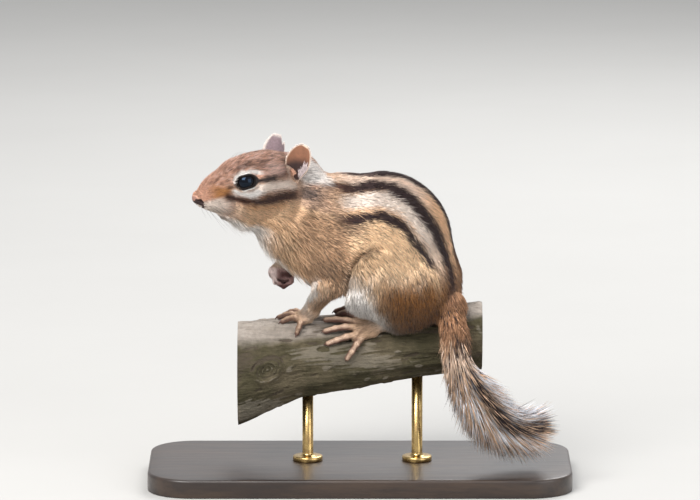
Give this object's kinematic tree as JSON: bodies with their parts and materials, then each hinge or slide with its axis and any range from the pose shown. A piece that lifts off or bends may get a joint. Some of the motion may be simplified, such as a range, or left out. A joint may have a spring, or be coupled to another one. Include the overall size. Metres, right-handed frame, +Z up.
{
  "type": "chipmunk",
  "caption": "Life-size striped chipmunk gripping a short cut branch, one forepaw raised, bushy tail hanging beside it, on a plain display stand.",
  "frame": {"origin": "centre of the stand's underside, on the floor", "axes": "+Z up, -X the way the chipmunk faces along the branch, -Y its left side, with the tail hanging on that side"},
  "size_m": [0.17, 0.078, 0.14],
  "materials": {
    "body_fur": "short soft fur, ochre flanks with black and cream stripes along the back, white belly",
    "head_fur": "very short fur, brown crown, white eye ring and cheek stripes, dark stripe through the eye",
    "ear_skin": "thin skin with fine down, pale rim",
    "eye": "wet glossy black-brown eye",
    "foot_skin": "pinkish tan skin under sparse short hair, dark claws",
    "tail_fur": "long grizzled tail hair, tan, black and white bands",
    "bark": "weathered grey-brown furrowed bark, pale sawn ends",
    "rod": "satin brass rod and flange",
    "base": "dark stained wood, satin lacquer"
  },
  "bodies": {
    "root": {"torso": "body_fur", "neck": "body_fur", "head": "head_fur", "ear_left": "ear_skin", "ear_right": "ear_skin", "eye_left": "eye", "eye_right": "eye", "foreleg_left": "body_fur", "foreleg_right": "body_fur", "forefoot_left": "foot_skin", "forefoot_right": "foot_skin", "hindleg_left": "body_fur", "hindleg_right": "body_fur", "hindfoot_left": "foot_skin", "hindfoot_right": "foot_skin", "tail_root": "body_fur", "tail_brush": "tail_fur", "perch_branch": "bark", "stand_rod_front": "rod", "stand_rod_rear": "rod", "stand_base": "base"}
  },
  "joints": []
}
